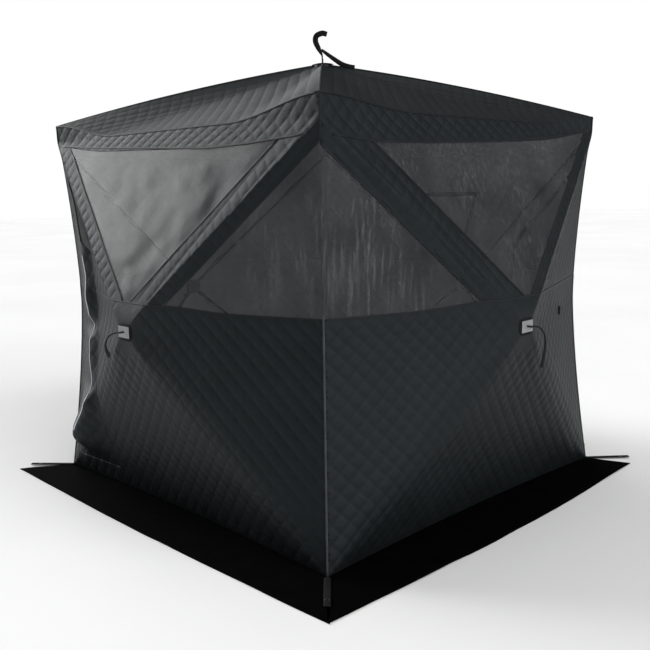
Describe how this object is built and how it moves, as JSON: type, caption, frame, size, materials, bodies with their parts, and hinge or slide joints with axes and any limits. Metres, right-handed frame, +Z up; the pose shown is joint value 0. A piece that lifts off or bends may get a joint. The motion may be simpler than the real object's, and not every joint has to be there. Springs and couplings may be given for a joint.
{
  "type": "pop-up ice fishing hut",
  "caption": "Square pop-up ice fishing hut: quilted fabric walls sprung out by pole hubs, clear film windows on two sides and round the corner between them, a side door flap and a snow skirt.",
  "frame": {"origin": "on the ground, at the middle of the hut's footprint", "axes": "+Z up; the front wall with the door flap faces -Y, the right wall faces +X"},
  "size_m": [2.278, 2.278, 2.0558],
  "materials": {
    "clear_film": "glossy wrinkled film",
    "fibreglass": "satin",
    "hub_plastic": "matt moulded",
    "patch_fabric": "matt weave",
    "quilted_fabric": "matt quilted weave",
    "reflective_tape": "satin",
    "skirt_fabric": "matt weave",
    "webbing": "ribbed weave",
    "zip_tape": "matt weave"
  },
  "bodies": {
    "shell": {"back_hub": "hub_plastic", "back_left_corner_panel": "quilted_fabric", "back_lower_wall": "quilted_fabric", "back_roof_panel": "quilted_fabric", "back_skirt": "skirt_fabric", "back_upper_panel": "quilted_fabric", "back_valance": "quilted_fabric", "corner_cups": "hub_plastic", "front_hub": "hub_plastic", "front_lower_wall": "quilted_fabric", "front_pole_bands": "quilted_fabric", "front_right_corner_window": "clear_film", "front_roof_panel": "quilted_fabric", "front_skirt": "skirt_fabric", "front_valance": "quilted_fabric", "front_window": "clear_film", "ground_tabs": "webbing", "hub_patches": "patch_fabric", "hub_reflectors": "reflective_tape", "left_front_corner_panel": "quilted_fabric", "left_hub": "hub_plastic", "left_lower_wall": "quilted_fabric", "left_roof_panel": "quilted_fabric", "left_skirt": "skirt_fabric", "left_upper_panel": "quilted_fabric", "left_valance": "quilted_fabric", "right_back_corner_panel": "quilted_fabric", "right_hub": "hub_plastic", "right_lower_wall": "quilted_fabric", "right_pole_bands": "quilted_fabric", "right_roof_panel": "quilted_fabric", "right_skirt": "skirt_fabric", "right_valance": "quilted_fabric", "right_window": "clear_film", "roof_hub": "hub_plastic", "roof_poles": "fibreglass", "roof_pull_strap": "webbing", "vent_zip": "zip_tape", "wall_poles": "fibreglass", "wall_pull_straps": "webbing"},
    "door": {"door_flap": "quilted_fabric"}
  },
  "joints": [
    {"name": "door_swing", "type": "hinge", "parent": "shell", "child": "door", "pos_m": [-0.7962, -0.913, 0.8], "axis": [0, -0.0223, -0.9998], "range_deg": [0, 110]}
  ]
}
